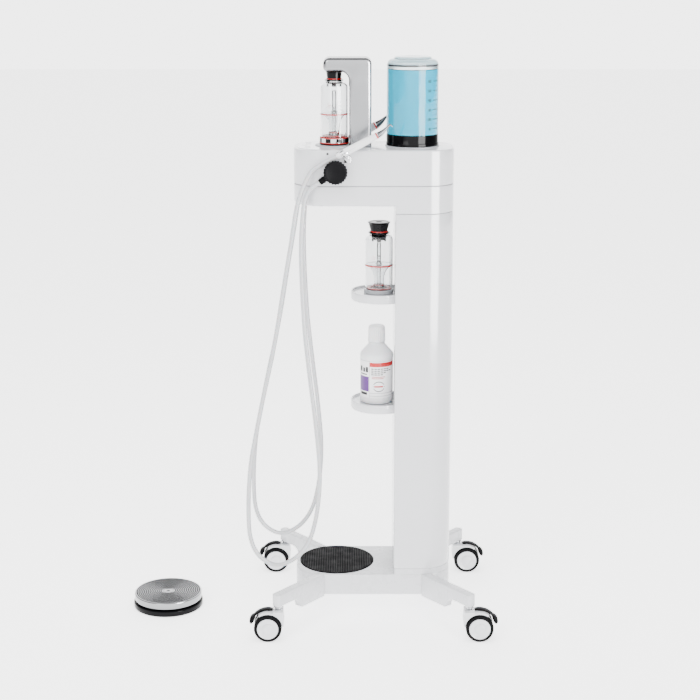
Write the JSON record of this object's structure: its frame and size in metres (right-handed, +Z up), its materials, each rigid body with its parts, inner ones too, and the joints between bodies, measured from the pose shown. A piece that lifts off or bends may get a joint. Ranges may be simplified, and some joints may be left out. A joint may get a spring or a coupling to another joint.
{
  "type": "suction pump",
  "caption": "Mobile pump unit on a C-shaped cart with braked casters, powder chamber, water bottle, hose-fed handpieces and a separate foot pedal.",
  "frame": {"origin": "on the floor, at the middle of the object's plan with its foot pedal", "axes": "+X along the cart towards its column, +Y from front to rear, +Z up"},
  "size_m": [0.6759, 0.368, 1.031],
  "materials": {
    "white_shell": "gloss",
    "dark_iron": "matte",
    "black_rubber": "matte",
    "white_paint": "gloss",
    "aluminium": "satin",
    "deck_panel": "gloss",
    "grey_plastic": "satin",
    "chrome": "polished",
    "black_plastic": "satin",
    "white_hose": "satin",
    "motor_grey": "satin",
    "brass": "satin",
    "board_green": "matte",
    "white_grip": "satin",
    "light_grip": "satin",
    "steel": "satin",
    "clear": "gloss",
    "blue_water": "gloss",
    "smoke_clear": "gloss",
    "white_bottle": "satin",
    "white_wheel": "satin",
    "tyre": "matte"
  },
  "bodies": {
    "cart": {"base_casting": "white_paint", "base_ballast": "dark_iron", "base_mat": "black_rubber", "legs": "white_paint", "column_shell": "white_shell", "column_post": "aluminium", "head_tray": "white_shell", "unit_housing": "white_shell", "unit_deck": "white_shell", "touch_panel": "deck_panel", "powder_tower": "aluminium", "tower_liner": "black_plastic", "chamber_platform": "grey_plastic", "bottle_socket": "grey_plastic", "shelves": "white_shell", "handpiece_cradles": "chrome", "hose_elbows": "black_plastic", "hose_front": "white_hose", "hose_rear": "white_hose", "pump_unit": "motor_grey", "generator_board": "board_green", "air_valves": "motor_grey", "supply_inlets": "black_plastic"},
    "rotor": {"pump_rotor": "brass"},
    "front_knob": {"knob_front": "black_plastic"},
    "rear_knob": {"knob_rear": "black_plastic"},
    "front_handpiece": {"handpiece_front": "white_grip", "handpiece_front_tip": "steel"},
    "rear_handpiece": {"handpiece_rear": "light_grip", "handpiece_rear_tip": "steel"},
    "bottle": {"water_bottle": "clear", "water": "blue_water", "bottle_collar": "black_plastic"},
    "chamber": {"chamber_glass": "clear", "chamber_funnel": "smoke_clear", "chamber_collar": "black_plastic"},
    "chamber_lid": {"chamber_cap": "black_plastic"},
    "spare_chamber": {"spare_glass": "clear", "spare_funnel": "smoke_clear"},
    "spare_lid": {"spare_cap": "black_plastic"},
    "flask_body": {"flask": "white_bottle"},
    "flask_lid": {"flask_cap": "white_bottle"},
    "pedal": {"pedal_base": "black_plastic"},
    "pedal_press": {"pedal_plate": "steel"},
    "caster_fl": {"caster_fl_fork": "white_wheel"},
    "wheels_fl": {"caster_fl_wheels": "white_wheel", "caster_fl_tyres": "tyre"},
    "brake_fl": {"caster_fl_brake": "black_plastic"},
    "caster_fr": {"caster_fr_fork": "white_wheel"},
    "wheels_fr": {"caster_fr_wheels": "white_wheel", "caster_fr_tyres": "tyre"},
    "brake_fr": {"caster_fr_brake": "black_plastic"},
    "caster_rl": {"caster_rl_fork": "white_wheel"},
    "wheels_rl": {"caster_rl_wheels": "white_wheel", "caster_rl_tyres": "tyre"},
    "brake_rl": {"caster_rl_brake": "black_plastic"},
    "caster_rr": {"caster_rr_fork": "white_wheel"},
    "wheels_rr": {"caster_rr_wheels": "white_wheel", "caster_rr_tyres": "tyre"},
    "brake_rr": {"caster_rr_brake": "black_plastic"}
  },
  "joints": [
    {"name": "rotor_spin", "type": "hinge", "parent": "cart", "child": "rotor", "pos_m": [0.154, 0, 0.838], "axis": [1, 0, 0], "continuous": true},
    {"name": "front_knob_turn", "type": "hinge", "parent": "cart", "child": "front_knob", "pos_m": [0.046, -0.08, 0.836], "axis": [0, -1, 0], "range_deg": [0, 45]},
    {"name": "rear_knob_turn", "type": "hinge", "parent": "cart", "child": "rear_knob", "pos_m": [0.046, 0.08, 0.836], "axis": [0, 1, 0], "range_deg": [0, 45]},
    {"name": "front_handpiece_lift", "type": "slide", "parent": "cart", "child": "front_handpiece", "axis": [-0.4695, 0, 0.8829], "range_m": [0, 0.05]},
    {"name": "rear_handpiece_lift", "type": "slide", "parent": "cart", "child": "rear_handpiece", "axis": [-0.4695, 0, 0.8829], "range_m": [0, 0.05]},
    {"name": "bottle_lift", "type": "slide", "parent": "cart", "child": "bottle", "axis": [0, 0, 1], "range_m": [0, 0.1]},
    {"name": "chamber_slide", "type": "slide", "parent": "cart", "child": "chamber", "axis": [-1, 0, 0], "range_m": [0, 0.06]},
    {"name": "chamber_cap_turn", "type": "hinge", "parent": "chamber", "child": "chamber_lid", "pos_m": [0.043, 0, 0.996], "axis": [0, 0, 1], "range_deg": [0, 90]},
    {"name": "spare_lift", "type": "slide", "parent": "cart", "child": "spare_chamber", "axis": [0, 0, 1], "range_m": [0, 0.02]},
    {"name": "spare_cap_turn", "type": "hinge", "parent": "spare_chamber", "child": "spare_lid", "pos_m": [0.124, 0, 0.715], "axis": [0, 0, 1], "range_deg": [0, 90]},
    {"name": "flask_lift", "type": "slide", "parent": "cart", "child": "flask_body", "axis": [0, 0, 1], "range_m": [0, 0.04]},
    {"name": "flask_cap_turn", "type": "hinge", "parent": "flask_body", "child": "flask_lid", "pos_m": [0.1205, 0, 0.525], "axis": [0, 0, 1], "continuous": true},
    {"name": "pedal_floor_slide", "type": "slide", "parent": "cart", "child": "pedal", "axis": [-1, 0, 0], "range_m": [0, 0.15]},
    {"name": "pedal_press_down", "type": "slide", "parent": "pedal", "child": "pedal_press", "axis": [0, 0, -1], "range_m": [0, 0.003], "stiffness_N_per_m": 2000, "springref_m": -0.003},
    {"name": "swivel_fl", "type": "hinge", "parent": "cart", "child": "caster_fl", "pos_m": [-0.058, -0.164, 0.06], "axis": [0, 0, 1], "continuous": true},
    {"name": "roll_fl", "type": "hinge", "parent": "caster_fl", "child": "wheels_fl", "pos_m": [-0.076, -0.164, 0.025], "axis": [0, 1, 0], "continuous": true},
    {"name": "brake_fl_press", "type": "hinge", "parent": "caster_fl", "child": "brake_fl", "pos_m": [-0.076, -0.164, 0.025], "axis": [0, -1, 0], "range_deg": [0, 12]},
    {"name": "swivel_fr", "type": "hinge", "parent": "cart", "child": "caster_fr", "pos_m": [0.286, -0.164, 0.06], "axis": [0, 0, 1], "continuous": true},
    {"name": "roll_fr", "type": "hinge", "parent": "caster_fr", "child": "wheels_fr", "pos_m": [0.304, -0.164, 0.025], "axis": [0, 1, 0], "continuous": true},
    {"name": "brake_fr_press", "type": "hinge", "parent": "caster_fr", "child": "brake_fr", "pos_m": [0.304, -0.164, 0.025], "axis": [0, 1, 0], "range_deg": [0, 12]},
    {"name": "swivel_rl", "type": "hinge", "parent": "cart", "child": "caster_rl", "pos_m": [-0.058, 0.164, 0.06], "axis": [0, 0, 1], "continuous": true},
    {"name": "roll_rl", "type": "hinge", "parent": "caster_rl", "child": "wheels_rl", "pos_m": [-0.076, 0.164, 0.025], "axis": [0, 1, 0], "continuous": true},
    {"name": "brake_rl_press", "type": "hinge", "parent": "caster_rl", "child": "brake_rl", "pos_m": [-0.076, 0.164, 0.025], "axis": [0, -1, 0], "range_deg": [0, 12]},
    {"name": "swivel_rr", "type": "hinge", "parent": "cart", "child": "caster_rr", "pos_m": [0.286, 0.164, 0.06], "axis": [0, 0, 1], "continuous": true},
    {"name": "roll_rr", "type": "hinge", "parent": "caster_rr", "child": "wheels_rr", "pos_m": [0.304, 0.164, 0.025], "axis": [0, 1, 0], "continuous": true},
    {"name": "brake_rr_press", "type": "hinge", "parent": "caster_rr", "child": "brake_rr", "pos_m": [0.304, 0.164, 0.025], "axis": [0, 1, 0], "range_deg": [0, 12]}
  ]
}
